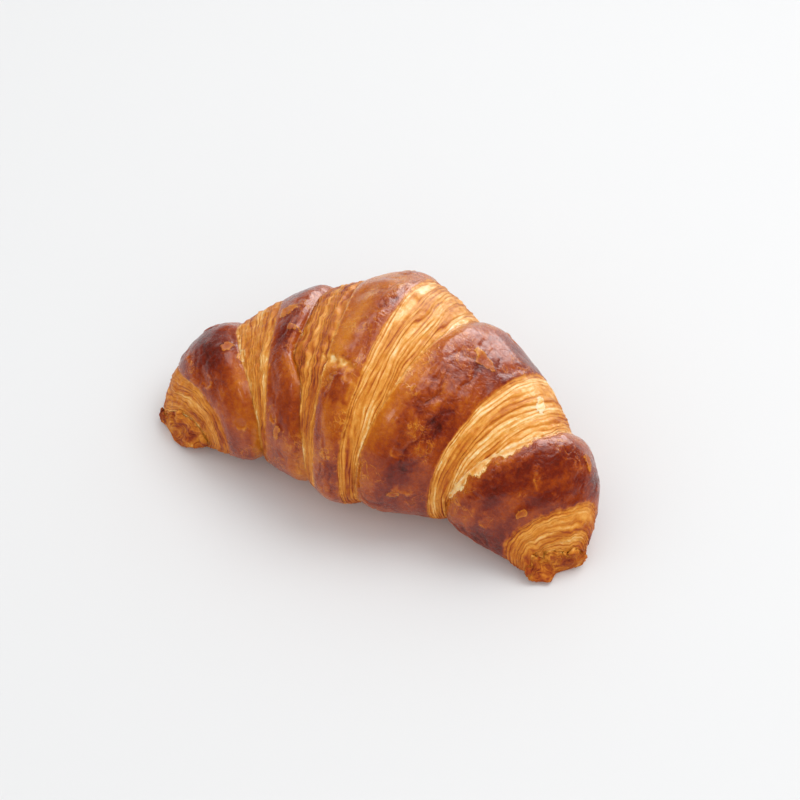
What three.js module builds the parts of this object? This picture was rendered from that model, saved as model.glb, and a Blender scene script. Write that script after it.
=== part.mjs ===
// A butter croissant lying on its underside, in millimetres, +Z up.
//
// It is a natural thing, baked in one piece, so it is one closed solid. Its body is swept along a bent
// centre line, the spine: "along" runs from -1 at the left tip to 1 at the right tip, and the round-the-body
// angle runs from 0 at the back, over the top (90), to the front (180) and the underside (270).
//
// The rolled dough shows as smooth bands, each overlapping the next one towards the tip. A band ends at a
// crest, and from there a strip of the dough's cut edge steps down, layer by layer, to the next band.
//
// The origin is under the middle of the croissant's box, on the surface it rests on.

import * as THREE from 'three';

// ---- Spine ----
const HALF_SPINE = 81.5; // from the middle to a tip, measured along the spine
const TURN = THREE.MathUtils.degToRad(60); // how far each arm has turned forward at its tip
const TURN_POWER = 1.75; // above 1, the bend gathers towards the tips
const SPINE_STEPS = 400; // straight steps from the middle to a tip

// ---- Cross-sections ----
// The roll is thickest in the middle. Outside the blend there, each arm tapers evenly, by its drops per arm's
// length. From END_START on it also rounds off, to the end shares of its size at the tip.
const MIDDLE = { halfDepth: 42, height: 65 };
const ARMS = {
  left: { depthDrop: 29, heightDrop: 44, endDepth: 0.4, endHeight: 0.3 },
  right: { depthDrop: 27, heightDrop: 36, endDepth: 0.5, endHeight: 0.2 },
};
const MIDDLE_ROUND = 0.08; // the share of an arm over which the two tapers blend in the middle
const END_START = 0.75; // the share of an arm at which its end begins to round off
const PRESSED = 1; // how deep the middle and the tips are pressed flat against the table
const ARCH = 4; // how far the underside arches up between the middle and a tip
const ARCH_POWER = 1.3; // above 1, the arch is highest nearer the tip
const LEFT_BULGE = 4; // how far the left arm bulges forward
const BULGE_POWER = 2.2; // above 1, the bulge lies nearer the tip
const RIGHT_HOOK = 4.5; // how far the right tip is pulled back
const HOOK_POWER = 8; // the higher, the closer the hook is to the tip
const WAIST = 0.44; // the widest level, as a share of the height
const SIDE_POWER = 0.92; // roundness of the sides
const CROWN_POWER = 0.95; // roundness over the top
const BELLY_POWER = 0.75; // flatness of the underside
const TIP_ROUND = 0.02; // the share of the spine over which a tip closes

// ---- Feet ----
// Where the ends of the roll are pushed out along the spine, in a soft lump round a place on the body.
const FEET = [
  { along: 1, angle: 205, alongReach: 0.07, angleReach: 50, push: 5 },
  { along: -0.97, angle: 215, alongReach: 0.05, angleReach: 40, push: 1.5 },
];

// ---- Edges of the dough sheet ----
// Where each edge runs, as the along value at the back, top, front and underside. A crest is the free edge
// of a band; a foot line is where its strip of layers meets the next band.
const EDGES = [
  { back: -0.98, top: -0.98, front: -0.9, under: -0.94 }, // foot line by the left tip
  { back: -0.86, top: -0.89, front: -0.78, under: -0.81 }, // crest of band 1
  { back: -0.62, top: -0.65, front: -0.52, under: -0.58 }, // foot line on band 1
  { back: -0.48, top: -0.5, front: -0.47, under: -0.47 }, // crest of band 2
  { back: -0.3, top: -0.35, front: -0.17, under: -0.24 }, // foot line on band 2
  { back: -0.21, top: -0.2, front: -0.11, under: -0.16 }, // left crest of the middle band
  { back: 0.04, top: 0.01, front: 0.03, under: 0.03 }, // right crest of the middle band
  { back: 0.24, top: 0.19, front: 0.09, under: 0.15 }, // foot line on band 4
  { back: 0.5, top: 0.5, front: 0.51, under: 0.5 }, // crest of band 4
  { back: 0.66, top: 0.69, front: 0.59, under: 0.59 }, // foot line on band 5
  { back: 0.89, top: 0.93, front: 0.93, under: 0.9 }, // crest of band 5
  { back: 0.98, top: 0.99, front: 0.98, under: 0.98 }, // foot line by the right tip
];

// ---- Relief, out from the body ----
const CREST = 1.2; // a band's free edge
const FOOT_LINE = -1.6; // where a strip meets the next band
const TIP_LEVEL = 0; // the rough ends of the roll
const SWELL = 1.1; // how far a band domes between its edges
const RISE_SHARE = 0.35; // the share of a band over which it comes up from under its strip
const LEDGE = 0.55; // how far a strip's layers rise and fall about its slope
// The slow unevenness of the baked surface. The swells run along the body at alongRate, with their rows swung
// by sway, and go round it in aroundCount waves that slant by slant.
const RIPPLE = { height: 0.45, alongRate: 21, sway: 2, aroundCount: 5, slant: 9 };

// ---- Mesh ----
const AROUND = 44; // columns around the body
const STRIP_LAYERS = 4; // ledges in a strip
// The stretches between the tips and the edges, from left to right, and the rings in each.
const STRETCHES = [
  { kind: 'tip', rings: 5 },
  { kind: 'strip', side: -1 },
  { kind: 'band', side: -1, rings: 6 },
  { kind: 'strip', side: -1 },
  { kind: 'band', side: -1, rings: 5 },
  { kind: 'strip', side: -1 },
  { kind: 'middle', rings: 8 },
  { kind: 'strip', side: 1 },
  { kind: 'band', side: 1, rings: 9 },
  { kind: 'strip', side: 1 },
  { kind: 'band', side: 1, rings: 7 },
  { kind: 'strip', side: 1 },
  { kind: 'tip', rings: 5 },
];

const mix = THREE.MathUtils.lerp;

/** The share of its size that an arm keeps where its end rounds off. */
function endRounding(outward, endShare) {
  const reached = Math.max(outward - END_START, 0) / (1 - END_START);
  return Math.sqrt(1 - reached ** 2 * (1 - endShare ** 2));
}

/** The cross-section at a place along the body; forward shifts it across the spine. */
function sectionAt(along) {
  const arm = along < 0 ? ARMS.left : ARMS.right;
  const outward = Math.min(Math.abs(along), 1);
  const taper = Math.hypot(outward, MIDDLE_ROUND) - MIDDLE_ROUND;
  const bulge = LEFT_BULGE * Math.sin(Math.PI * outward ** BULGE_POWER);
  const hook = RIGHT_HOOK * outward ** HOOK_POWER;
  return {
    halfDepth: (MIDDLE.halfDepth - arm.depthDrop * taper) * endRounding(outward, arm.endDepth),
    top: (MIDDLE.height - arm.heightDrop * taper) * endRounding(outward, arm.endHeight),
    bottom: ARCH * Math.sin(Math.PI * outward ** ARCH_POWER) - PRESSED,
    forward: along < 0 ? bulge : -hook,
  };
}

/** The spine's points from tip to tip; a point's place in the list follows its along value. */
function spinePoints() {
  const arm = (side) => {
    const points = [new THREE.Vector2(0, 0)];
    for (let i = 0; i < SPINE_STEPS; i++) {
      const turned = TURN * ((i + 0.5) / SPINE_STEPS) ** TURN_POWER;
      const step = new THREE.Vector2(side * Math.cos(turned), -Math.sin(turned));
      points.push(step.multiplyScalar(HALF_SPINE / SPINE_STEPS).add(points[i]));
    }
    return points;
  };
  return [...arm(-1).reverse(), ...arm(1).slice(1)];
}

const SPINE = spinePoints();

function spineAt(along) {
  const place = THREE.MathUtils.clamp((along + 1) * SPINE_STEPS, 0, SPINE.length - 1);
  const i = Math.min(Math.floor(place), SPINE.length - 2);
  return SPINE[i].clone().lerp(SPINE[i + 1], place - i);
}

/** How far the feet push a place on the body out along the spine, below 0 on the left. */
function footPush(along, angle) {
  return FEET.reduce((total, foot) => {
    const lengthwise = (along - foot.along) / foot.alongReach;
    const around = THREE.MathUtils.radToDeg(angle) - foot.angle;
    const fade = Math.exp(-(lengthwise ** 2) - (around / foot.angleReach) ** 2);
    return total + Math.sign(foot.along) * foot.push * fade;
  }, 0);
}

/** Sign-keeping power, which squares off or pinches a circle's sine or cosine. */
function shaped(value, power) {
  return Math.sign(value) * Math.abs(value) ** power;
}

/** The surface point at a place along and around the body, standing "out" of the plain body. */
function surfacePoint(along, angle, out) {
  const { halfDepth, top, bottom, forward } = sectionAt(along);
  const waist = mix(bottom, top, WAIST);
  const closed = THREE.MathUtils.clamp((Math.abs(along) - 1 + TIP_ROUND) / TIP_ROUND, 0, 1);
  const size = Math.sqrt(1 - closed * closed);

  const across = (shaped(Math.cos(angle), SIDE_POWER) * halfDepth + out * Math.cos(angle)) * size;
  const upper = Math.max(Math.sin(angle), 0);
  const lower = Math.max(-Math.sin(angle), 0);
  const above = shaped(upper, CROWN_POWER) * (top - waist) + out * upper;
  const below = shaped(lower, BELLY_POWER) * (waist - bottom);
  const height = Math.max(waist + (above - below) * size, 0);

  const heading = TURN * Math.sign(along) * Math.abs(along) ** TURN_POWER;
  const centre = spineAt(along);
  const push = footPush(along, angle);
  return new THREE.Vector3(
    centre.x + Math.sin(heading) * (across - forward) + Math.cos(heading) * push,
    centre.y + Math.cos(heading) * (across - forward) - Math.sin(heading) * push,
    height,
  );
}

/** Where an edge lies at an angle around the body, a smooth wave through its four values. */
function edgeAt(edge, angle) {
  const mean = (edge.back + edge.top + edge.front + edge.under) / 4;
  const backToFront = ((edge.back - edge.front) / 2) * Math.cos(angle);
  const topToUnder = ((edge.top - edge.under) / 2) * Math.sin(angle);
  const twice = ((edge.back + edge.front - edge.top - edge.under) / 4) * Math.cos(2 * angle);
  return mean + backToFront + topToUnder + twice;
}

/** The relief in a stretch, at a share of the way across it. */
function reliefIn(stretch, share) {
  const outward = stretch.side > 0 ? share : 1 - share; // 0 at the side nearer the middle, 1 nearer the tip
  if (stretch.kind === 'strip') {
    const layer = outward * STRIP_LAYERS;
    const ledge = outward > 0 && outward < 1 ? LEDGE * Math.cos(layer * 2 * Math.PI) : 0;
    return mix(CREST, FOOT_LINE, outward) + ledge;
  }
  if (stretch.kind === 'band') {
    const risen = 1 - (1 - Math.min(outward / RISE_SHARE, 1)) ** 2;
    return mix(FOOT_LINE, CREST, risen) + SWELL * Math.sin(Math.PI * outward);
  }
  if (stretch.kind === 'middle') {
    return CREST + SWELL * Math.sin(Math.PI * share);
  }
  return TIP_LEVEL;
}

/** Slow swells and hollows, as baked dough has. */
function ripple(along, angle) {
  const lengthwise = Math.sin(RIPPLE.alongRate * along + RIPPLE.sway * Math.sin(angle));
  const around = Math.sin(RIPPLE.aroundCount * angle + RIPPLE.slant * along);
  return RIPPLE.height * lengthwise * around;
}

/** Every ring of the body from tip to tip: its stretch and how far across the stretch it lies. */
function ringPlaces() {
  const places = [];
  STRETCHES.forEach((stretch, index) => {
    const rings = stretch.kind === 'strip' ? 2 * STRIP_LAYERS : stretch.rings;
    for (let i = 0; i < rings; i++) {
      places.push({ stretch, index, share: i / rings });
    }
  });
  return places.slice(1); // the tips themselves are single points
}

function ringPoints({ stretch, index, share }) {
  const points = [];
  for (let column = 0; column < AROUND; column++) {
    const angle = (column / AROUND) * 2 * Math.PI;
    const start = index === 0 ? -1 : edgeAt(EDGES[index - 1], angle);
    const end = index === EDGES.length ? 1 : edgeAt(EDGES[index], angle);
    const along = mix(start, end, share);
    points.push(surfacePoint(along, angle, reliefIn(stretch, share) + ripple(along, angle)));
  }
  return points;
}

/** The closed skin: a point at each tip and the rings between them. */
function bodyGeometry() {
  const rings = ringPlaces().map(ringPoints);
  const leftTip = surfacePoint(-1, 0, 0);
  const rightTip = surfacePoint(1, 0, 0);
  const points = [leftTip, ...rings.flat(), rightTip];
  const at = (ring, column) => 1 + ring * AROUND + (column % AROUND);

  const faces = [];
  for (let column = 0; column < AROUND; column++) {
    faces.push(0, at(0, column + 1), at(0, column));
    for (let ring = 0; ring + 1 < rings.length; ring++) {
      const a = at(ring, column);
      const b = at(ring, column + 1);
      const c = at(ring + 1, column + 1);
      const d = at(ring + 1, column);
      faces.push(a, b, c, a, c, d);
    }
    const lastRing = rings.length - 1;
    faces.push(points.length - 1, at(lastRing, column), at(lastRing, column + 1));
  }

  const geometry = new THREE.BufferGeometry().setFromPoints(points);
  geometry.setIndex(faces);
  return geometry;
}

/** Moves the geometry so that the origin is under the middle of its box. */
function centreOverOrigin(geometry) {
  geometry.computeBoundingBox();
  const centre = geometry.boundingBox.getCenter(new THREE.Vector3());
  geometry.translate(-centre.x, -centre.y, -geometry.boundingBox.min.z);
  geometry.computeVertexNormals();
  return geometry;
}

function croissant() {
  const crust = new THREE.MeshStandardMaterial({ color: 0xb5662a, roughness: 0.45, metalness: 0 });
  const mesh = new THREE.Mesh(centreOverOrigin(bodyGeometry()), crust);
  mesh.name = 'croissant';
  return mesh;
}

const group = new THREE.Group();
group.add(croissant());

export default group;
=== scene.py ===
"""A butter croissant on a pale studio floor.

The CAD croissant is replaced by one finely meshed skin of the same body. The body is swept along a bent
centre line, the spine: "along" runs from -1 at the left tip to 1 at the right tip, and the angle round the
body runs from 0 at the back, over the top (90), to the front (180) and the underside (270). Between the tips
lie stretches: smooth egg-washed bands, and strips of cut dough layers that step down from a band's free
edge, its crest, to a foot line on the next band.

The body is worked out in millimetres and then fitted to the CAD part's box.
"""

import math

import bpy
import numpy as np
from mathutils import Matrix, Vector


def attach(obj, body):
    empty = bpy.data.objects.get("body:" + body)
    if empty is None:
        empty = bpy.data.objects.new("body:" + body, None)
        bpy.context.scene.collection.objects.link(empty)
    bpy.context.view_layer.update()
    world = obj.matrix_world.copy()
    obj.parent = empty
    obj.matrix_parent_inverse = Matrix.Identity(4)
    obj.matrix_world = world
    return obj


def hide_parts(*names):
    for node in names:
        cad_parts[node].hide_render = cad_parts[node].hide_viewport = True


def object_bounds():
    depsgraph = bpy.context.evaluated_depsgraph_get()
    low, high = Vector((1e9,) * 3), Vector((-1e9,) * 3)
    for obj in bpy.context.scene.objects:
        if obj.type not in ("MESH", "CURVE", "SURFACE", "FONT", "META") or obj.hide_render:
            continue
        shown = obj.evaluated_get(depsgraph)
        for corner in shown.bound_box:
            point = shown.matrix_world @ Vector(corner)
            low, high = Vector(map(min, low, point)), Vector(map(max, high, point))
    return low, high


NODE = "croissant"

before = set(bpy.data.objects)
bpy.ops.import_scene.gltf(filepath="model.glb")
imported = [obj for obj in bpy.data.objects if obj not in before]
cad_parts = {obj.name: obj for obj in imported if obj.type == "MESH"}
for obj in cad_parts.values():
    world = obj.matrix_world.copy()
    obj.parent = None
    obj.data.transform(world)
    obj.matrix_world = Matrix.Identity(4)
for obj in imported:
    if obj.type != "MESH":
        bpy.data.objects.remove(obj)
cad_low, cad_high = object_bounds()

# ---- The body, in millimetres and degrees, as in the CAD part ----
HALF_SPINE = 81.5
TURN = math.radians(60)
TURN_POWER = 1.75
SPINE_STEPS = 400
# The roll is thickest in the middle. Outside the blend there, each arm tapers by its drop per arm's length.
# From END_START on it also rounds off, to the end share of its size. Pairs are for the left and right arm.
MIDDLE_DEPTH = 42
DEPTH_DROP = (29, 27)
DEPTH_END = (0.4, 0.5)
MIDDLE_HEIGHT = 65
HEIGHT_DROP = (44, 36)
HEIGHT_END = (0.3, 0.2)
MIDDLE_ROUND = 0.08  # the share of an arm over which the two tapers blend
END_START = 0.75
PRESSED = 1
ARCH = 4
ARCH_POWER = 1.3
LEFT_BULGE = 4
BULGE_POWER = 2.2
RIGHT_HOOK = 4.5
HOOK_POWER = 8
WAIST = 0.44
SIDE_POWER = 0.92
CROWN_POWER = 0.95
BELLY_POWER = 0.75
TIP_ROUND = 0.02
# Where the ends of the roll are pushed out along the spine: along, angle, reach along, reach round, push
FEET = [
    (1, 205, 0.07, 50, 5),
    (-0.97, 215, 0.05, 40, 1.5),
]
# Where each edge of the dough sheet lies along the body, at the back, top, front and underside
EDGES = np.array([
    (-0.98, -0.98, -0.9, -0.94),
    (-0.86, -0.89, -0.78, -0.81),
    (-0.62, -0.65, -0.52, -0.58),
    (-0.48, -0.5, -0.47, -0.47),
    (-0.3, -0.35, -0.17, -0.24),
    (-0.21, -0.2, -0.11, -0.16),
    (0.04, 0.01, 0.03, 0.03),
    (0.24, 0.19, 0.09, 0.15),
    (0.5, 0.5, 0.51, 0.5),
    (0.66, 0.69, 0.59, 0.59),
    (0.89, 0.93, 0.93, 0.9),
    (0.98, 0.99, 0.98, 0.98),
])
# Where an edge laps a little over its neighbour, in the skin only: edge, angle, reach round, shift along
EDGE_LAPS = [(4, 108, 15, -0.045)]
CREST = 1.2
FOOT_LINE = -1.6
SWELL = 1.1
RISE_SHARE = 0.35

# The stretches from left to right: kind, side of the middle and number of rings
TIP, STRIP, BAND, MIDDLE = range(4)
STRETCHES = [
    (TIP, -1, 16),
    (STRIP, -1, 34),
    (BAND, -1, 36),
    (STRIP, -1, 34),
    (BAND, -1, 26),
    (STRIP, -1, 32),
    (MIDDLE, 0, 38),
    (STRIP, 1, 40),
    (BAND, 1, 54),
    (STRIP, 1, 40),
    (BAND, 1, 44),
    (STRIP, 1, 34),
    (TIP, 1, 16),
]
COLUMNS = 224
UNDER_DENSITY = 0.45  # how closely the columns lie on the underside, as a share of elsewhere
EDGE_WOBBLE = 0.0075  # how far the sheet's edges stray along the body
# The mesh of the plain body, about as fine as the CAD part's, whose box gives the scale
PLAIN_RINGS = 9
PLAIN_COLUMNS = 44

# ---- Dough layers in the strips ----
LAYER = 1.3  # thickness of a layer in a strip of usual width
USUAL_WIDTH = 12.0
LEDGE = 0.5  # about how far a layer's lip stands over the next layer
# How brown each strip's layers are, by the strip's place among the stretches
STRIP_TOAST = {1: 0.47, 3: 0.47, 5: 0.54, 7: 0.36, 9: 0.34, 11: 0.46}
CRUMBS = 0.35  # roughness of the layers' broken edges
CRUMBS_ON_TOP = 0.75  # and over the top of the crumbliest strips
CRUMBLY = {3: 0.5, 5: 1.0}
CUT_DEPTH = 0.45  # how far the first layer lies below the band's free edge
OVERHANG = {5: 0.9}  # how far a strip stands over the next band at its foot line, where it does

# ---- Bands, by their place among the stretches ----
# How brown each band is: on the left, in the middle and on the right
BAND_TOAST = {
    2: (0.76, 0.83, 0.66),
    4: (0.74, 0.75, 0.63),
    6: (0.57, 0.56, 0.6),
    8: (0.55, 0.69, 0.78),
    10: (0.55, 0.76, 0.84),
}
# Wrinkled patches: along, angle, reach along, reach round, amount
WRINKLES = [
    (-0.8, 95, 0.06, 30, 0.4),
    (-0.42, 90, 0.06, 45, 0.4),
    (-0.02, 74, 0.055, 24, 1.0),
    (0.36, 122, 0.1, 36, 1.0),
    (0.34, 82, 0.12, 26, 0.25),
    (0.74, 112, 0.08, 40, 0.5),
    (0.82, 66, 0.09, 26, 0.2),
]
WRINKLED_TOAST = 0.08  # how much browner the wrinkled patches are

# How much browner the front of a stretch is than its top
FRONT_TOAST = {2: -0.12, 5: -0.14, 6: 0.09, 7: 0.06, 8: 0.02, 10: 0.05, 11: 0.04}

# ---- Marks on the crust: kind, along, angle, half length, half width, turn in degrees ----
MARKS = [
    ("flake", -0.449, 76, 3.3, 2.4, 20),
    ("flake", -0.403, 92, 2.3, 1.3, 30),
    ("flake", -0.70, 83, 2.0, 2.4, 0),
    ("flake", -0.65, 95, 1.5, 2.8, 15),
    ("curl", -0.825, 98, 2.0, 4.2, -10),
    ("curl", -0.41, 149, 1.4, 3.0, -15),
    ("flake", -0.355, 160, 1.5, 3.0, 25),
    ("flake", 0.375, 77, 4.6, 2.3, 12),
    ("peel", -0.095, 117, 7.5, 2.2, 6),
    ("flap", -0.05, 129, 4.2, 4.6, 10),
    ("curl", 0.36, 172, 3.0, 2.0, 10),
    ("flake", 0.29, 178, 2.2, 1.2, -20),
    ("flake", 0.6, 60, 3.0, 1.8, 40),
    ("curl", 0.36, 32, 3.5, 2.2, 20),
    ("flake", -0.08, 38, 2.6, 1.8, -10),
    ("flake", 0.8, 40, 2.4, 1.6, 10),
    ("curl", -0.74, 30, 2.6, 1.8, 15),
    ("curl", -0.845, 54, 1.6, 2.6, 10),
    ("curl", -0.64, 156, 2.2, 1.6, 0),
    ("curl", 0.285, 150, 2.6, 1.6, 15),
    ("curl", 0.84, 162, 1.8, 2.4, 5),
    ("curl", 0.84, 94, 2.2, 1.4, 20),
    ("flake", 0.9, 122, 1.2, 2.4, -10),
]
# The torn edge: the stretch it lies on, how wide it is, and from which angle to which it runs
RIBBON_BAND = 10
RIBBON_WIDTH = 5.2
RIBBON_ANGLES = (84, 168)
FAR_AWAY = 9.0  # a distance, in mark sizes, at which a mark has no effect
MARK_DEPTH = 9.0  # how deep a mark reaches through the body, in millimetres

# ---- Studio ----
SKY_STRENGTH = 0.88
BUMP_DISTANCE = 0.0006  # height of the finest relief, in metres


def noise_field(seed):
    """Smooth gradient noise in three dimensions, from about -1 to 1, one swell per unit."""
    rng = np.random.default_rng(seed)
    order = rng.permutation(256)
    gradients = rng.normal(size=(256, 3))
    gradients /= np.linalg.norm(gradients, axis=1)[:, None]

    def noise(x, y, z=0.0):
        points = np.stack(np.broadcast_arrays(x, y, z), -1).astype(float)
        cell = np.floor(points).astype(int)
        local = points - cell
        fade = local ** 3 * (local * (local * 6 - 15) + 10)
        total = np.zeros(points.shape[:-1])
        for corner in np.ndindex(2, 2, 2):
            place = (cell + corner) & 255
            pick = order[(order[(order[place[..., 0]] + place[..., 1]) & 255] + place[..., 2]) & 255]
            share = np.where(corner, fade, 1 - fade).prod(-1)
            total += share * (gradients[pick] * (local - corner)).sum(-1)
        return total * 1.7

    return noise


def fractal(noise, x, y, z, octaves=3):
    """Noise with finer and fainter noise added on top."""
    total = 0
    for octave in range(octaves):
        size = 2 ** octave
        total = total + noise(x * size + 7 * octave, y * size, z * size) / size
    return total


def smooth_step(low, high, value):
    share = np.clip((value - low) / (high - low), 0, 1)
    return share * share * (3 - 2 * share)


def mix(start, end, share):
    return start + (end - start) * share


def bump(*offsets):
    """A smooth swelling: 1 where every offset is 0, fading away past 1."""
    return np.exp(-sum(offset ** 2 for offset in offsets))


# ---- The plain body ----

def section_at(along):
    """The cross-section's half depth, top, bottom and forward shift."""
    left = along < 0
    outward = np.minimum(np.abs(along), 1)
    taper = np.hypot(outward, MIDDLE_ROUND) - MIDDLE_ROUND
    reached = np.maximum(outward - END_START, 0) / (1 - END_START)

    def tapered(middle, drops, ends):
        end = np.where(left, *ends)
        return (middle - np.where(left, *drops) * taper) * np.sqrt(1 - reached ** 2 * (1 - end ** 2))

    half_depth = tapered(MIDDLE_DEPTH, DEPTH_DROP, DEPTH_END)
    top = tapered(MIDDLE_HEIGHT, HEIGHT_DROP, HEIGHT_END)
    bottom = ARCH * np.sin(math.pi * outward ** ARCH_POWER) - PRESSED
    bulge = LEFT_BULGE * np.sin(math.pi * outward ** BULGE_POWER)
    forward = np.where(left, bulge, -RIGHT_HOOK * outward ** HOOK_POWER)
    return half_depth, top, bottom, forward


def heading_at(along):
    return TURN * np.sign(along) * np.abs(along) ** TURN_POWER


def spine_at(along):
    """The spine's x and y."""
    arm = np.linspace(-1, 1, 2 * SPINE_STEPS + 1)
    turned = heading_at((arm[1:] + arm[:-1]) / 2)
    step = HALF_SPINE / SPINE_STEPS
    x = np.concatenate([[0], np.cumsum(np.cos(turned) * step)])
    y = np.concatenate([[0], np.cumsum(-np.sin(turned) * step)])
    return np.interp(along, arm, x - x[SPINE_STEPS]), np.interp(along, arm, y - y[SPINE_STEPS])


def foot_push(along, angle):
    """How far the feet push places on the body out along the spine, below 0 on the left."""
    total = np.zeros(np.broadcast(along, angle).shape)
    for place, turn, reach_along, reach_round, push in FEET:
        pushed = bump((along - place) / reach_along, (np.degrees(angle) - turn) / reach_round)
        total += np.sign(place) * push * pushed
    return total


def surface(along, angle, out):
    """Points of the body, standing "out" of the plain shape."""
    half_depth, top, bottom, forward = section_at(along)
    waist = mix(bottom, top, WAIST)
    closed = np.clip((np.abs(along) - 1 + TIP_ROUND) / TIP_ROUND, 0, 1)
    size = np.sqrt(1 - closed ** 2)
    cosine, sine = np.cos(angle), np.sin(angle)
    upper, lower = np.maximum(sine, 0), np.maximum(-sine, 0)
    sideways = np.sign(cosine) * np.abs(cosine) ** SIDE_POWER
    across = (sideways * half_depth + out * cosine) * size - forward
    above = upper ** CROWN_POWER * (top - waist) + out * upper
    below = lower ** BELLY_POWER * (waist - bottom)
    height = np.maximum(waist + (above - below) * size, 0)
    heading = heading_at(along)
    x, y = spine_at(along)
    push = foot_push(along, angle)
    x = x + np.sin(heading) * across + np.cos(heading) * push
    y = y + np.cos(heading) * across - np.sin(heading) * push
    return np.stack([x, y, height], -1)


def edges_at(angle):
    """Each edge's along value at the angles: one row for an edge."""
    back, top, front, under = EDGES.T[:, :, None]
    mean = (back + top + front + under) / 4
    once = (back - front) / 2 * np.cos(angle) + (top - under) / 2 * np.sin(angle)
    return mean + once + (back + front - top - under) / 4 * np.cos(2 * angle)


class Grid:
    """Places on the body as arrays with one row for a ring and one column for an angle."""

    def __init__(self, stretches, columns, wobble=0.0):
        share_around = np.linspace(0, 2 * math.pi, 2001)
        dense = np.where(np.sin(share_around) < -0.45, UNDER_DENSITY, 1.0)
        reached = np.concatenate([[0], np.cumsum((dense[1:] + dense[:-1]) / 2)])
        turn = np.interp(np.arange(columns) / columns, reached / reached[-1], share_around)

        kind, side, index, share = [], [], [], []
        for i, (its_kind, its_side, rings) in enumerate(stretches):
            kind += [its_kind] * rings
            side += [its_side] * rings
            index += [i] * rings
            share += [ring / rings for ring in range(rings)]
        rows = slice(1, None)  # the tips themselves are single points
        self.kind = np.array(kind)[rows, None]
        self.side = np.array(side)[rows, None]
        self.index = np.array(index)[rows, None]
        self.share = np.array(share)[rows, None]
        self.angle = np.broadcast_to(turn, (len(self.kind), columns))
        # 0 at the side nearer the middle and 1 nearer the tip
        self.outward = np.where(self.side < 0, 1 - self.share, self.share)

        edges = edges_at(turn)
        if wobble:
            edges = edges + wobble * self.edge_wander(turn)
            for edge, angle, reach, shift in EDGE_LAPS:
                edges[edge] += shift * bump((np.degrees(turn) - angle) / reach)
        knots = np.vstack([np.full(columns, -1.0), edges, np.full(columns, 1.0)])
        self.along = mix(knots[self.index[:, 0]], knots[self.index[:, 0] + 1], self.share)

    @staticmethod
    def edge_wander(turn):
        """How each edge strays from its smooth line: slow waves and small nicks."""
        wander = noise_field(11)
        rows = np.arange(len(EDGES))[:, None] * 5.3
        x, y = np.cos(turn), np.sin(turn)
        return wander(2 * x, 2 * y, rows) + 0.5 * wander(6 * x, 6 * y, rows + 2)


def stretch_relief(grid):
    """How far the bands, strips and tips stand out of the plain body, without layers."""
    outward = grid.outward
    risen = 1 - (1 - np.minimum(outward / RISE_SHARE, 1)) ** 2
    band = mix(FOOT_LINE, CREST, risen) + SWELL * np.sin(math.pi * outward)
    strip = mix(CREST, FOOT_LINE, outward)
    middle = CREST + SWELL * np.sin(math.pi * grid.share)
    choices = [np.zeros_like(outward), strip, band, middle]
    return np.choose(grid.kind, choices) + 0 * grid.angle


def plain_box():
    """Lowest and highest corner of the body at the CAD part's level of detail."""
    grid = Grid([(kind, side, PLAIN_RINGS) for kind, side, _ in STRETCHES], PLAIN_COLUMNS)
    points = surface(grid.along, grid.angle, stretch_relief(grid))
    return points.min((0, 1)), points.max((0, 1))


# ---- Surface detail ----

def lengths_across(grid, points):
    """For each point, its distance across its own stretch, in millimetres, and the stretch's full width."""
    steps = np.linalg.norm(np.diff(points, axis=0, prepend=points[:1]), axis=-1)
    distance = np.cumsum(steps, axis=0)
    run = np.zeros_like(distance)
    width = np.zeros_like(distance)
    for i in range(len(STRETCHES)):
        rows = np.flatnonzero(grid.index[:, 0] == i)
        start = distance[rows[0]]
        end = distance[min(rows[-1] + 1, len(distance) - 1)]
        run[rows] = distance[rows] - start
        width[rows] = end - start
    from_crest = np.where(grid.side < 0, width - run, run)
    return from_crest, np.maximum(width, 0.3)


def girth(grid):
    """Distance round the body in millimetres, roughly, starting and ending in the middle of the underside."""
    half_depth, top = section_at(grid.along)[:2]
    radius = (half_depth + top / 2) / 2
    return (np.mod(grid.angle + math.pi / 2, 2 * math.pi) - math.pi / 2) * radius


class Skin:
    """The detailed skin: where it stands, and what its material needs to know at each point."""

    def __init__(self):
        self.grid = Grid(STRETCHES, COLUMNS, wobble=EDGE_WOBBLE)
        grid = self.grid
        self.base = surface(grid.along, grid.angle, stretch_relief(grid))
        self.from_crest, self.width = lengths_across(grid, self.base)
        self.round = girth(grid)
        shape = self.base.shape[:2]
        self.is_strip = np.broadcast_to(grid.kind == STRIP, shape)
        self.is_band = np.broadcast_to((grid.kind == BAND) | (grid.kind == MIDDLE), shape)
        self.is_tip = np.broadcast_to(grid.kind == TIP, shape)
        self.upper = smooth_step(-0.75, -0.35, np.sin(grid.angle))
        self.height = np.zeros(shape)
        # For the material: how brown and how glossy, which layer and how marked its line, how wrinkled, how
        # far from the middle of a loose plate, in plate sizes, and how far in from the nearest edge of the
        # stretch, below 0 on the strips and the tips
        self.toast = np.zeros(shape)
        self.gloss = np.zeros(shape)
        self.layer = np.zeros(shape)
        self.lines = np.zeros(shape)
        self.wrinkle = np.zeros(shape)
        self.plate = np.full(shape, FAR_AWAY)
        gap = np.minimum(grid.share, 1 - grid.share) * self.width
        self.gap = np.where(self.is_band, gap, -gap)

    def at(self, size, seed_shift=0.0):
        """The points as noise coordinates, one unit for each size in millimetres."""
        return tuple(self.base[..., i] / size + seed_shift for i in range(3))


def by_stretch(grid, values):
    """A value for each ring, from a dictionary by place among the stretches."""
    return np.array([values.get(i, 0.0) for i in range(len(STRETCHES))])[grid.index]


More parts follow.
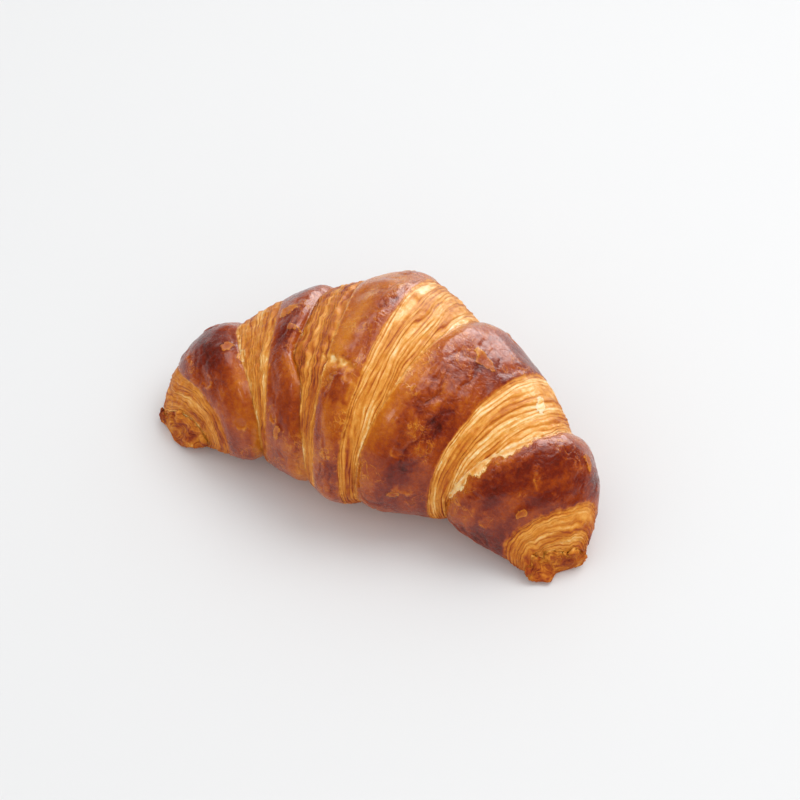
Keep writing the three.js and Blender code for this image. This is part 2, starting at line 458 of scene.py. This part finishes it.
def across_band(grid, values):
    """A smooth run across each band through its three values."""
    left, middle, right = (by_stretch(grid, {i: three[k] for i, three in values.items()}) for k in range(3))
    left_half = mix(left, middle, smooth_step(0.0, 0.45, grid.share))
    return mix(left_half, right, smooth_step(0.55, 1.0, grid.share))


def front_toast(grid):
    """How much browner a stretch turns towards its front."""
    return by_stretch(grid, FRONT_TOAST) * smooth_step(0.4, 0.95, -np.cos(grid.angle))


def wrinkle_patches(grid):
    """How wrinkled each place is, from 0 to 1."""
    total = np.zeros(grid.angle.shape)
    for along, angle, reach_along, reach_round, amount in WRINKLES:
        around = (np.degrees(grid.angle) - angle) / reach_round
        total += amount * bump((grid.along - along) / reach_along, around)
    return np.minimum(total, 1)


def add_layers(skin):
    """The stepped dough layers of the strips."""
    waver, grain = noise_field(21), noise_field(22)
    grid = skin.grid
    own = grid.index * 3.7
    along_layer, across = skin.round, skin.from_crest
    thickness = LAYER * np.sqrt(skin.width / USUAL_WIDTH)
    layer = across / thickness
    layer = layer + 1.6 * waver(along_layer / 38, across / 6, own)
    layer = layer + 0.8 * waver(along_layer / 19, across / 3, own + 1)
    share = layer - np.floor(layer)
    number = np.floor(layer) + 13 * grid.index
    puff = 0.65 + 0.35 * np.sin(number * 2.4) + 0.5 * waver(along_layer / 14, number * 1.7, own)
    ridge = share ** 0.55 * (1 - share ** 7) * 1.25
    narrow = np.clip(skin.width / 7, 0.25, 1)
    ends = smooth_step(0, 0.05, grid.outward) * smooth_step(0, 0.04, 1 - grid.outward)
    ledge = LEDGE * np.clip(puff, 0.2, 1.3) * ridge * narrow * ends * skin.upper
    on_top = smooth_step(0.6, 0.95, np.sin(grid.angle))
    crumbs = mix(CRUMBS, CRUMBS_ON_TOP, by_stretch(grid, CRUMBLY) * on_top)
    ledge = ledge + crumbs * fractal(grain, *skin.at(3.2), octaves=2) * ends * skin.upper
    skin.height += np.where(skin.is_strip, ledge - 0.25 * LEDGE * ends, 0)

    crown = smooth_step(0.1, 0.9, np.sin(grid.angle))
    toast = by_stretch(grid, STRIP_TOAST) + 0.07 * np.sin(number * 5.1)
    toast = toast + 0.16 * waver(along_layer / 17, across / 4, own + 4)
    toast = toast + 0.14 * grain(along_layer / 14, across / 1.3, own)
    toast = toast + 0.16 * smooth_step(0.12, 0, grid.outward) - 0.13 * crown + 0.05
    toast = toast + front_toast(grid)
    skin.toast += np.where(skin.is_strip, toast, 0)
    strength = 0.5 + 0.7 * waver(along_layer / 11, number * 0.9, own + 6) + 0.1 * crown
    skin.lines += np.where(skin.is_strip, np.clip(strength, 0.2, 1), 0)
    skin.layer += np.where(skin.is_strip, layer, 0)
    skin.gloss += np.where(skin.is_strip, 0.3, 0)
    overhang = by_stretch(grid, OVERHANG) * smooth_step(0.1, 0.8, grid.outward) * skin.upper
    cut = -CUT_DEPTH * smooth_step(0.3, 0.0, grid.outward) * skin.upper * narrow
    skin.height += np.where(skin.is_strip, overhang + cut, 0)


def add_bands(skin):
    """The egg-washed bands: swells, wrinkles, blisters and their browning, with painted shade in the
    wrinkles' valleys.
    """
    swell, crease, mottle = noise_field(31), noise_field(32), noise_field(33)
    grid = skin.grid
    inside = smooth_step(0.2, 2.5, skin.gap)

    bend = [0.5 * swell(*skin.at(9, shift)) for shift in (0, 20, 40)]
    x, y, z = (skin.base[..., i] + 5 * bend[i] for i in range(3))
    lumps = 0.7 * fractal(swell, *skin.at(15), octaves=2)
    on_the_sides = smooth_step(0.0, 0.6, swell(*skin.at(20, 9)) - 0.5 * np.sin(grid.angle) + 0.2)
    wrinkled = np.maximum(wrinkle_patches(grid), 0.6 * on_the_sides) * inside * skin.upper
    across, around = skin.from_crest, skin.round
    knobs = fractal(crease, x / 6.5, y / 6.5, z / 6.5, octaves=2)
    valleys = np.exp(-(crease(across / 4.5 + bend[0], around / 8 + bend[1], grid.index * 1.7) / 0.16) ** 2)
    folds = 0.28 * knobs - 0.75 * valleys
    skin.height += np.where(skin.is_band, lumps * inside * skin.upper + wrinkled * folds, 0)
    skin.wrinkle += np.where(skin.is_band, wrinkled + 0.35 * inside * skin.upper, 0)

    streaks = fractal(mottle, across / 8, around / 26, grid.index * 2.3, octaves=4)
    brown = across_band(grid, BAND_TOAST) + front_toast(grid)
    brown = brown + 0.1 * fractal(mottle, *skin.at(17)) + 0.12 * streaks
    # Darker in the wrinkles' valleys as painted shade, and paler on the knobs as less-browned crust
    brown = brown + wrinkled * (WRINKLED_TOAST + 0.12 * valleys - 0.1 * knobs)
    skin.toast += np.where(skin.is_band, brown, 0)
    skin.gloss += np.where(skin.is_band, 1, 0)


def add_tips(skin):
    """The rough ends of the roll: crumbly rings of layers."""
    crumb = noise_field(41)
    layer = skin.from_crest / 2.6 + 2.2 * fractal(crumb, *skin.at(8, 6))
    share = layer - np.floor(layer)
    rough = 1.1 * fractal(crumb, *skin.at(4)) + 0.6 * share * (1 - share ** 6)
    skin.height += np.where(skin.is_tip, rough * skin.upper, 0)
    skin.toast += np.where(skin.is_tip, 0.56 + 0.26 * fractal(crumb, *skin.at(4.5, 4)), 0)
    skin.layer += np.where(skin.is_tip, layer, 0)
    skin.lines += np.where(skin.is_tip, 0.35, 0)
    skin.gloss += np.where(skin.is_tip, 0.15, 0)


class Mark:
    """A patch of the crust round one point: its distance field, 0 at its middle and 1 at its ragged edge."""

    ragged = staticmethod(noise_field(61))

    def __init__(self, skin, along, angle, half_length, half_width, turn):
        angle, turn = math.radians(angle), math.radians(turn)
        step = 0.02
        here = surface(np.array([along, along - step, along + step, along, along]),
                       np.array([angle, angle, angle, angle - step, angle + step]), 0.0)
        lengthwise = here[2] - here[1]
        round_body = here[4] - here[3]
        lengthwise = lengthwise / np.linalg.norm(lengthwise)
        normal = np.cross(lengthwise, round_body)
        normal = normal / np.linalg.norm(normal)
        sideways = np.cross(normal, lengthwise)
        offset = skin.base - here[0]
        a, b = offset @ lengthwise, offset @ sideways
        self.x = (a * math.cos(turn) + b * math.sin(turn)) / half_length
        self.y = (b * math.cos(turn) - a * math.sin(turn)) / half_width
        far = np.hypot(self.x, self.y)
        far = far * (1 + 0.45 * self.ragged(*skin.at(3.4)) + 0.2 * self.ragged(*skin.at(1.7, 3)))
        self.far = np.where(np.abs(offset @ normal) > MARK_DEPTH, FAR_AWAY, np.minimum(far, FAR_AWAY))
        self.inside = smooth_step(1.1, 0.9, self.far)
        self.rim = np.exp(-((self.far - 1) / 0.2) ** 2)


def add_flake(skin, mark):
    """A thin loose plate of crust, paler than what it lies on."""
    skin.height += mark.inside * (0.25 + 0.25 * np.minimum(mark.far, 1) ** 2)
    skin.plate = np.minimum(skin.plate, mark.far)
    skin.gloss -= 0.3 * mark.inside


def add_curl(skin, mark):
    """A burst blister: a raised ragged crescent along one side of a shallow amber hollow."""
    crescent = mark.rim * smooth_step(-0.4, 0.8, mark.y)
    skin.height += 0.5 * crescent - 0.2 * mark.inside
    # The raised crescent is paler: a painted highlight along its rim
    skin.toast = mix(skin.toast, 0.6, 0.35 * mark.inside) - 0.2 * crescent


def add_peel(skin, mark):
    """A tear across the crust that shows the pale layers under it, sharp above and fading out below."""
    fading = mark.inside * smooth_step(1.4, -0.6, mark.y)
    pale = 0.3 + 0.3 * Mark.ragged(*skin.at(2.2, 8))
    skin.height += 0.5 * mark.rim * smooth_step(0.3, -0.5, mark.y) - 0.9 * fading
    skin.toast = mix(skin.toast, pale, fading)
    skin.gloss = mix(skin.gloss, 0.3, fading)


def add_flap(skin, mark):
    """A lifted tongue of crust, highest at its upper edge."""
    lifted = np.clip(1 - mark.y, 0, 2) / 2
    skin.height += mark.inside * (0.1 + 1.1 * lifted)
    # Paler along the lifted upper edge: a painted highlight
    skin.toast += mark.inside * 0.12 - 0.2 * mark.rim * lifted


def add_ribbon(skin):
    """The torn, see-through edge of the dough sheet that lies along a foot line."""
    tear = noise_field(71)
    grid = skin.grid
    reach = RIBBON_WIDTH * (0.9 + 0.8 * tear(skin.round / 7, 0) + 0.4 * tear(skin.round / 2.2, 5))
    start, end = (math.radians(angle) for angle in RIBBON_ANGLES)
    reach = reach * smooth_step(start - 0.2, start + 0.1, grid.angle)
    reach = np.maximum(reach * smooth_step(end + 0.1, end - 0.2, grid.angle), 0.01)
    distance = grid.share * skin.width
    inside = np.where(grid.index == RIBBON_BAND, smooth_step(reach + 0.5, reach - 0.3, distance), 0)
    far = np.where((grid.index == RIBBON_BAND) & (reach > 1), distance / reach, FAR_AWAY)
    skin.plate = np.minimum(skin.plate, np.minimum(far, FAR_AWAY))
    pale = 0.3 + 0.16 * fractal(tear, *skin.at(2.4, 9)) + 0.12 * smooth_step(0, 3, distance)
    skin.toast = mix(skin.toast, pale, 0.9 * inside)
    skin.height += 0.35 * inside
    skin.gloss -= 0.3 * inside


MARK_MAKERS = {"flake": add_flake, "curl": add_curl, "peel": add_peel, "flap": add_flap}


def add_marks(skin):
    for kind, *place in MARKS:
        MARK_MAKERS[kind](skin, Mark(skin, *place))


def add_underside(skin):
    """The underside bakes even, brown and dull against the tray."""
    grain = noise_field(51)
    drift = 0.16 * fractal(grain, *skin.at(12, 5))
    under = smooth_step(-0.15, -0.8, np.sin(skin.grid.angle) + drift)
    brown = 0.6 + 0.08 * fractal(grain, *skin.at(9))
    skin.toast = mix(skin.toast, brown, under)
    skin.gloss = mix(skin.gloss, 0.0, under)
    skin.lines *= 1 - 0.7 * under


def finished_points(skin):
    """The base points moved out along the surface's own normals by the fine height."""
    down_rings = np.gradient(skin.base, axis=0)
    around = np.roll(skin.base, -1, 1) - np.roll(skin.base, 1, 1)
    normals = np.cross(around, down_rings)
    normals /= np.maximum(np.linalg.norm(normals, axis=-1, keepdims=True), 1e-9)
    fade = smooth_step(1.0, 0.993, np.abs(skin.grid.along))
    points = skin.base + normals * (skin.height * fade)[..., None]
    points[..., 2] = np.maximum(points[..., 2], 0)
    return points


def skin_mesh(skin, name):
    """The closed mesh: rings of quads and a fan at each tip."""
    points = finished_points(skin)
    low, high = plain_box()
    cad_size = np.array(cad_high) - np.array(cad_low)
    scale = cad_size / (high - low)
    rings, columns = points.shape[:2]
    tips = surface(np.array([-1.0, 1.0]), np.zeros(2), np.zeros(2))
    places = np.vstack([tips[:1], points.reshape(-1, 3), tips[1:]])
    places = np.array(cad_low) + (places - low) * scale

    ring, column = np.mgrid[0:rings - 1, 0:columns]
    here = 1 + ring * columns + column
    beside = 1 + ring * columns + (column + 1) % columns
    quads = np.stack([here, beside, beside + columns, here + columns], -1).reshape(-1, 4)
    around = np.arange(columns)
    first = 1 + around
    last = 1 + (rings - 1) * columns + around
    left_fan = np.stack([np.zeros_like(first), np.roll(first, -1), first], -1)
    right_fan = np.stack([np.full_like(last, len(places) - 1), last, np.roll(last, -1)], -1)
    faces = quads.tolist() + left_fan.tolist() + right_fan.tolist()

    mesh = bpy.data.meshes.new(name)
    mesh.from_pydata(places.tolist(), [], faces)
    mesh.polygons.foreach_set("use_smooth", [True] * len(mesh.polygons))
    for attribute in ("toast", "gloss", "layer", "lines", "round", "gap", "plate", "wrinkle"):
        values = getattr(skin, attribute)
        flat = np.concatenate([[values[0].mean()], values.ravel(), [values[-1].mean()]])
        made = mesh.attributes.new(attribute, "FLOAT", "POINT")
        made.data.foreach_set("value", flat.astype(np.float32))
    mesh.validate()
    return mesh


# ---- Materials ----

def srgb(code):
    """A linear colour from a hex code such as c8741f."""
    parts = [int(code[i:i + 2], 16) / 255 for i in (0, 2, 4)]
    return tuple(p / 12.92 if p < 0.04045 else ((p + 0.055) / 1.055) ** 2.4 for p in parts) + (1,)


class Nodes:
    """Short ways to build a material's node tree."""

    def __init__(self, material):
        material.use_nodes = True
        self.tree = material.node_tree
        self.tree.nodes.clear()

    def add(self, kind, **settings):
        node = self.tree.nodes.new(kind)
        for name, value in settings.items():
            setattr(node, name, value)
        return node

    def link(self, source, target):
        self.tree.links.new(source, target)

    def attribute(self, name):
        return self.add("ShaderNodeAttribute", attribute_name=name).outputs["Fac"]

    def math(self, operation, *inputs, clamp=False):
        node = self.add("ShaderNodeMath", operation=operation, use_clamp=clamp)
        for socket, value in zip(node.inputs, inputs):
            if isinstance(value, (int, float)):
                socket.default_value = value
            else:
                self.link(value, socket)
        return node.outputs[0]

    def ramp(self, value, stops):
        node = self.add("ShaderNodeValToRGB")
        ramp = node.color_ramp
        while len(ramp.elements) < len(stops):
            ramp.elements.new(0.5)
        for element, (place, colour) in zip(ramp.elements, stops):
            element.position = place
            element.color = colour if isinstance(colour, tuple) else (colour, colour, colour, 1)
        self.link(value, node.inputs[0])
        return node.outputs["Color"]

    def noise(self, coordinates, per_mm, detail=3.0, roughness=0.55, distortion=0.0):
        node = self.add("ShaderNodeTexNoise")
        self.link(coordinates, node.inputs["Vector"])
        node.inputs["Scale"].default_value = per_mm * 1000
        node.inputs["Detail"].default_value = detail
        node.inputs["Roughness"].default_value = roughness
        node.inputs["Distortion"].default_value = distortion
        return node.outputs["Fac"]


# Colours of dough from raw and pale to dark
BROWNING = [
    (0.0, srgb("fde7bd")),
    (0.14, srgb("f8cf8c")),
    (0.28, srgb("eba348")),
    (0.42, srgb("d68425")),
    (0.56, srgb("bf6615")),
    (0.7, srgb("a1420c")),
    (0.84, srgb("78220a")),
    (1.0, srgb("4c1308")),
]
# Across one layer: darker in its crease as painted shade under the lip above, pale over its face, browned at
# its lip
LAYER_BROWNING_AND_CREASE_SHADE = [
    (0.0, 0.14),
    (0.15, 0.03),
    (0.4, 0.0),
    (0.62, 0.05),
    (0.8, 0.2),
    (0.9, 0.32),
    (1.0, 0.2),
]


def crust_material():
    material = bpy.data.materials.new("baked_dough")
    n = Nodes(material)
    output = n.add("ShaderNodeOutputMaterial")
    shader = n.add("ShaderNodeBsdfPrincipled")
    n.link(shader.outputs[0], output.inputs["Surface"])
    place = n.add("ShaderNodeTexCoord").outputs["Object"]

    fine = n.noise(place, 0.55, detail=4)
    finest = n.noise(place, 1.9, detail=3)
    swings = n.math("SUBTRACT", fine, 0.5)
    lines = n.attribute("lines")
    gloss = n.attribute("gloss")

    # Threads of dough that run along the layers, in coordinates that already count the noise's swells
    threads_place = n.add("ShaderNodeCombineXYZ")
    n.link(n.math("MULTIPLY", n.attribute("round"), 0.16), threads_place.inputs["X"])
    n.link(n.math("MULTIPLY", n.attribute("layer"), 2.2), threads_place.inputs["Y"])
    threads = n.math("SUBTRACT", n.noise(threads_place.outputs[0], 0.001, detail=4, roughness=0.6), 0.5)
    threads = n.math("MULTIPLY", threads, n.math("GREATER_THAN", lines, 0.05))
    layer_share = n.math("FRACT", n.math("ADD", n.attribute("layer"), n.math("MULTIPLY", swings, 0.25)))
    # The layer's line: browned at its lip, and painted shade in its crease
    line = n.math("MULTIPLY", n.ramp(layer_share, LAYER_BROWNING_AND_CREASE_SHADE), lines)

    # Crinkles in the egg-washed skin: bumps, with paler crests and painted shade in their hollows
    crinkles = n.math("SUBTRACT", n.noise(place, 0.3, detail=3, roughness=0.5, distortion=1.4), 0.5)
    crinkles = n.math("MULTIPLY", crinkles, n.attribute("wrinkle"))
    # Pale veins where the skin has split: thin lines where warped noise crosses its middle, here and there
    splits = n.math("ABSOLUTE", n.math("SUBTRACT", n.noise(place, 0.17, detail=3, distortion=1.2), 0.5))
    splits = n.math("SUBTRACT", 1, n.math("MULTIPLY", splits, 30), clamp=True)
    somewhere = n.math("MULTIPLY_ADD", n.noise(place, 0.09, detail=1), 8, -4.2, clamp=True)
    veins = n.math("MULTIPLY", n.math("MULTIPLY", splits, somewhere), n.math("MULTIPLY", gloss, gloss))

    # The crumbly pale rim of each sheet edge, and the loose flakes
    ragged = n.math("MULTIPLY", swings, 3.2)
    gap = n.math("ADD", n.math("ABSOLUTE", n.attribute("gap")), ragged)
    rim = n.math("SUBTRACT", 1, n.math("MULTIPLY", gap, 1.1), clamp=True)
    plate = n.math("MULTIPLY_ADD", swings, 1.3, n.attribute("plate"))
    plate = n.math("MULTIPLY_ADD", n.math("SUBTRACT", finest, 0.5), 0.8, plate)
    on_plate = n.ramp(plate, [(0.0, 0.35), (0.6, 0.6), (0.86, 1.0), (0.92, 1.0), (0.98, 0.0), (1.0, 0.0)])

    toast = n.math("ADD", n.attribute("toast"), line)
    toast = n.math("MULTIPLY_ADD", threads, 0.7, toast)
    toast = n.math("MULTIPLY_ADD", swings, 0.24, toast)
    toast = n.math("MULTIPLY_ADD", n.math("SUBTRACT", finest, 0.5), 0.14, toast)
    # Paler on the crinkles' crests, partly as less-browned crust, and darker in their hollows as painted
    # shade
    toast = n.math("MULTIPLY_ADD", crinkles, -0.35, toast)
    toast = n.math("MULTIPLY_ADD", rim, -0.14, toast)
    toast = n.math("MULTIPLY_ADD", on_plate, -0.32, toast)
    toast = n.math("MULTIPLY_ADD", veins, -0.22, toast, clamp=True)
    n.link(n.ramp(toast, BROWNING), shader.inputs["Base Color"])

    roughness = n.math("MULTIPLY_ADD", gloss, -0.38, 0.66)
    n.link(n.math("MULTIPLY_ADD", swings, 0.25, roughness), shader.inputs["Roughness"])
    shader.inputs["Specular IOR Level"].default_value = 0.2
    shader.inputs["Subsurface Weight"].default_value = 0.12
    shader.inputs["Subsurface Radius"].default_value = (1.0, 0.45, 0.15)
    shader.inputs["Subsurface Scale"].default_value = 0.002
    n.link(n.math("MULTIPLY", gloss, 0.3), shader.inputs["Coat Weight"])
    shader.inputs["Coat Roughness"].default_value = 0.1

    relief = n.math("MULTIPLY_ADD", finest, 0.2, n.math("MULTIPLY", fine, 0.5))
    relief = n.math("MULTIPLY_ADD", line, -0.35, relief)
    relief = n.math("MULTIPLY_ADD", threads, -0.7, relief)
    relief = n.math("MULTIPLY_ADD", crinkles, 2.4, relief)
    relief = n.math("MULTIPLY_ADD", rim, 0.3, relief)
    relief = n.math("MULTIPLY_ADD", on_plate, 0.6, relief)
    relief = n.math("MULTIPLY_ADD", veins, 0.4, relief)
    raised = n.add("ShaderNodeBump")
    raised.inputs["Strength"].default_value = 0.7
    raised.inputs["Distance"].default_value = BUMP_DISTANCE
    n.link(relief, raised.inputs["Height"])
    n.link(raised.outputs[0], shader.inputs["Normal"])
    return material


def floor_material():
    material = bpy.data.materials.new("pale_floor")
    n = Nodes(material)
    output = n.add("ShaderNodeOutputMaterial")
    shader = n.add("ShaderNodeBsdfPrincipled")
    n.link(shader.outputs[0], output.inputs["Surface"])
    shader.inputs["Base Color"].default_value = (0.79, 0.795, 0.8, 1)
    shader.inputs["Roughness"].default_value = 0.6
    shader.inputs["Specular IOR Level"].default_value = 0.0
    return material


# ---- Pieces ----

def make_croissant():
    skin = Skin()
    add_layers(skin)
    add_bands(skin)
    add_tips(skin)
    add_ribbon(skin)
    add_marks(skin)
    add_underside(skin)
    mesh = skin_mesh(skin, "croissant_skin")
    piece = bpy.data.objects.new("croissant_skin", mesh)
    bpy.context.scene.collection.objects.link(piece)
    mesh.materials.append(crust_material())
    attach(piece, "root")
    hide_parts(NODE)


def make_floor(half_side):
    corners = [(-half_side, -half_side, 0), (half_side, -half_side, 0)]
    corners += [(half_side, half_side, 0), (-half_side, half_side, 0)]
    mesh = bpy.data.meshes.new("floor")
    mesh.from_pydata(corners, [], [(0, 1, 2, 3)])
    floor = bpy.data.objects.new("floor", mesh)
    floor.location.z = cad_low.z
    mesh.materials.append(floor_material())
    bpy.context.scene.collection.objects.link(floor)


# ---- Light and camera ----

def direction(azimuth, elevation):
    """A unit vector pointing from the object to a camera or lamp; azimuth 0 is in front, at -Y."""
    a, e = math.radians(azimuth), math.radians(elevation)
    return Vector((math.sin(a) * math.cos(e), -math.cos(a) * math.cos(e), math.sin(e)))


def aim(thing, target, azimuth, elevation, distance):
    back = direction(azimuth, elevation)
    thing.location = target + back * distance
    thing.rotation_euler = (-back).to_track_quat("-Z", "Y").to_euler()


def make_softbox(name, azimuth, elevation, distance, side, watts, sheen_only=False):
    """A square lamp; one that is sheen only is seen in reflections and lights nothing."""
    lamp = bpy.data.lights.new(name, "AREA")
    lamp.shape = "SQUARE"
    lamp.size = side
    lamp.energy = watts
    box = bpy.data.objects.new(name, lamp)
    bpy.context.scene.collection.objects.link(box)
    box.visible_diffuse = not sheen_only
    aim(box, Vector((0, 0, 0)), azimuth, elevation, distance)


def make_lights():
    world = bpy.data.worlds.new("studio")
    world.use_nodes = True
    background = world.node_tree.nodes["Background"]
    background.inputs["Color"].default_value = (1, 1, 1, 1)
    background.inputs["Strength"].default_value = SKY_STRENGTH
    world.cycles_visibility.glossy = False
    bpy.context.scene.world = world
    make_softbox("top", azimuth=135, elevation=66, distance=1.0, side=0.6, watts=3.6)
    # These show as a sheen and as glints on the crust, without lighting the floor
    make_softbox("window", azimuth=178, elevation=24, distance=1.2, side=0.95, watts=21, sheen_only=True)
    make_softbox("sheen", azimuth=236, elevation=38, distance=1.2, side=0.5, watts=3, sheen_only=True)
    make_softbox("glints", azimuth=330, elevation=55, distance=1.0, side=0.2, watts=0.9, sheen_only=True)
    make_softbox("more_glints", azimuth=250, elevation=76, distance=1.0, side=0.2, watts=0.9, sheen_only=True)


def make_camera():
    size = cad_high - cad_low
    target = Vector((-0.0462 * size.x, 0.2328 * size.y, cad_low.z))
    data = bpy.data.cameras.new("camera")
    data.sensor_width = 36
    data.lens = 104.7
    camera = bpy.data.objects.new("camera", data)
    bpy.context.scene.collection.objects.link(camera)
    aim(camera, target, azimuth=25.1, elevation=50, distance=5.19 * size.x)
    bpy.context.scene.camera = camera


make_camera()
make_lights()
make_floor(half_side=4)
make_croissant()
bpy.context.scene.view_settings.view_transform = "Standard"
